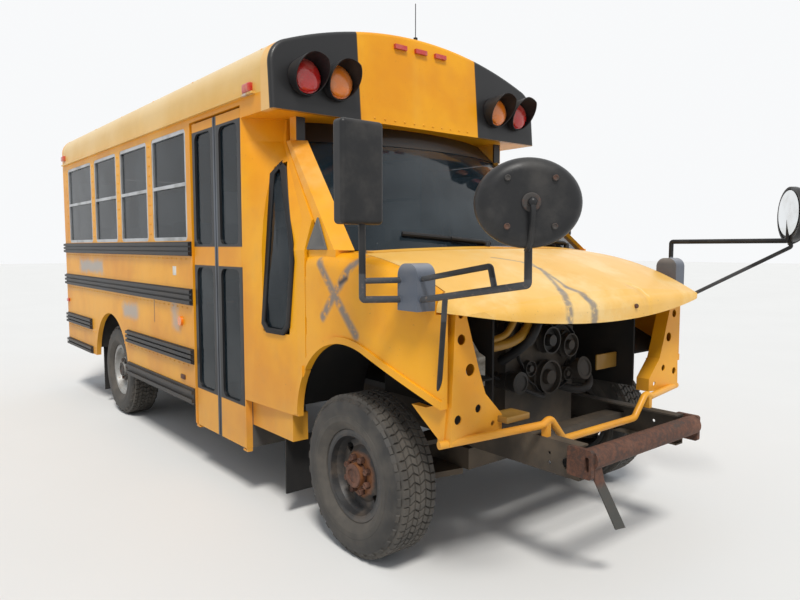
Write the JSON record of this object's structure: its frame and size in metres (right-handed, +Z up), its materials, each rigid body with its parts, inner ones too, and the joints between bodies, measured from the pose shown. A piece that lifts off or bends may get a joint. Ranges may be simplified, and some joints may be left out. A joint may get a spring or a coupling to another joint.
{
  "type": "short school bus",
  "caption": "Yellow short school bus on a van chassis with its nose stripped, hinged doors, steered front wheels and rolling wheels.",
  "frame": {"origin": "on the ground under the middle of the bounding box", "axes": "+Z up, +Y towards the rear of the bus, +X towards the driver's side"},
  "size_m": [2.596, 6.3321, 2.954],
  "materials": {
    "yellow_paint": "worn gloss",
    "black_paint": "satin",
    "chassis_paint": "matt, dusty",
    "rusty_steel": "rusty",
    "dark_engine": "oily",
    "wheel_dark": "matt",
    "wheel_silver": "satin",
    "tyre": "dusty",
    "glass": "clear",
    "aluminium": "brushed",
    "floor_rubber": "ribbed",
    "black_plastic": "grained",
    "grey_plastic": "grained",
    "seat_vinyl": "vinyl",
    "lamp_lens": "clear gloss",
    "rubber": "matt",
    "red_paint": "gloss"
  },
  "bodies": {
    "bus": {"frame_rails": "chassis_paint", "front_crossmember": "rusty_steel", "front_suspension": "chassis_paint", "rear_axle": "chassis_paint", "drive_shaft": "chassis_paint", "engine_block": "dark_engine", "fuel_tank": "chassis_paint", "exhaust": "rusty_steel", "bus_floor": "floor_rubber", "wheel_boxes": "floor_rubber", "antenna": "black_plastic", "step_well": "black_paint", "body_side_left": "yellow_paint", "body_side_right": "yellow_paint", "window_frames": "aluminium", "body_glass": "glass", "rub_rails": "black_paint", "body_roof": "yellow_paint", "front_cap": "yellow_paint", "rear_wall": "yellow_paint", "rear_bumper": "black_paint", "cowl": "black_plastic", "windscreen": "glass", "cab_frame": "yellow_paint", "cab_side_panel": "yellow_paint", "fender_left": "yellow_paint", "fender_right": "yellow_paint", "radiator_support": "yellow_paint", "engine_bay": "yellow_paint", "cab_floor": "floor_rubber", "dashboard": "grey_plastic", "driver_seat": "seat_vinyl", "bench_seats": "seat_vinyl", "lamps": "lamp_lens", "mud_flaps": "rubber", "mirrors_left": "black_plastic", "mirrors_right": "black_plastic"},
    "knuckle_left": {"steering_knuckle_left": "rusty_steel"},
    "knuckle_right": {"steering_knuckle_right": "rusty_steel"},
    "hood": {"hood": "yellow_paint"},
    "driver_door": {"driver_door": "yellow_paint", "driver_door_glass": "glass", "door_mirror": "black_plastic"},
    "entrance_leaf_front": {"entrance_door_front": "yellow_paint", "entrance_glass_front": "glass"},
    "entrance_leaf_rear": {"entrance_door_rear": "yellow_paint", "entrance_glass_rear": "glass"},
    "rear_door": {"rear_door": "yellow_paint", "rear_door_glass": "glass"},
    "stop_arm": {"stop_arm": "red_paint"},
    "steering_wheel": {"steering_wheel": "black_plastic"},
    "wheel_front_left": {"wheel_front_left": "wheel_dark", "tyre_front_left": "tyre"},
    "wheel_front_right": {"wheel_front_right": "wheel_dark", "tyre_front_right": "tyre"},
    "wheel_rear_left": {"wheel_rear_left": "wheel_silver", "tyre_rear_left": "tyre"},
    "wheel_rear_right": {"wheel_rear_right": "wheel_silver", "tyre_rear_right": "tyre"}
  },
  "joints": [
    {"name": "steer_left", "type": "hinge", "parent": "bus", "child": "knuckle_left", "pos_m": [0.79, -1.92495, 0.4], "axis": [0, 0, 1], "range_deg": [-32, 32]},
    {"name": "steer_right", "type": "hinge", "parent": "bus", "child": "knuckle_right", "pos_m": [-0.79, -1.92495, 0.4], "axis": [0, 0, 1], "range_deg": [-32, 32]},
    {"name": "steering_wheel_turn", "type": "hinge", "parent": "bus", "child": "steering_wheel", "pos_m": [0.53, -1.26495, 1.33], "axis": [0, 0.8211, 0.5708], "range_deg": [-540, 540]},
    {"name": "wheel_front_left_spin", "type": "hinge", "parent": "knuckle_left", "child": "wheel_front_left", "pos_m": [0.871, -1.92495, 0.387], "axis": [1, 0, 0], "continuous": true},
    {"name": "wheel_front_right_spin", "type": "hinge", "parent": "knuckle_right", "child": "wheel_front_right", "pos_m": [-0.871, -1.92495, 0.387], "axis": [1, 0, 0], "continuous": true},
    {"name": "wheel_rear_left_spin", "type": "hinge", "parent": "bus", "child": "wheel_rear_left", "pos_m": [0.866, 1.60605, 0.387], "axis": [1, 0, 0], "continuous": true},
    {"name": "wheel_rear_right_spin", "type": "hinge", "parent": "bus", "child": "wheel_rear_right", "pos_m": [-0.866, 1.60605, 0.387], "axis": [1, 0, 0], "continuous": true},
    {"name": "hood_lift", "type": "hinge", "parent": "bus", "child": "hood", "pos_m": [0, -1.88495, 1.394], "axis": [-1, 0, 0], "range_deg": [0, 55]},
    {"name": "driver_door_swing", "type": "hinge", "parent": "bus", "child": "driver_door", "pos_m": [1.004, -1.57845, 1.2], "axis": [0, 0, -1], "range_deg": [0, 65]},
    {"name": "entrance_front_swing", "type": "hinge", "parent": "bus", "child": "entrance_leaf_front", "pos_m": [-1.0125, -0.93845, 1.2], "axis": [0, 0, 1], "range_deg": [0, 85]},
    {"name": "entrance_rear_swing", "type": "hinge", "parent": "bus", "child": "entrance_leaf_rear", "pos_m": [-1.0125, -0.26745, 1.2], "axis": [0, 0, -1], "range_deg": [0, 85]},
    {"name": "rear_door_swing", "type": "hinge", "parent": "bus", "child": "rear_door", "pos_m": [-0.426, 3.09805, 1.4], "axis": [0, 0, 1], "range_deg": [0, 110]},
    {"name": "stop_arm_swing", "type": "hinge", "parent": "bus", "child": "stop_arm", "pos_m": [1.062, -0.27095, 1.29], "axis": [0, 0, -1], "range_deg": [0, 90]}
  ],
  "couplings": [
    {"joint": "steer_right", "follows": "steer_left", "ratio": 1},
    {"joint": "steering_wheel_turn", "follows": "steer_left", "ratio": 16.875},
    {"joint": "entrance_rear_swing", "follows": "entrance_front_swing", "ratio": 1}
  ]
}
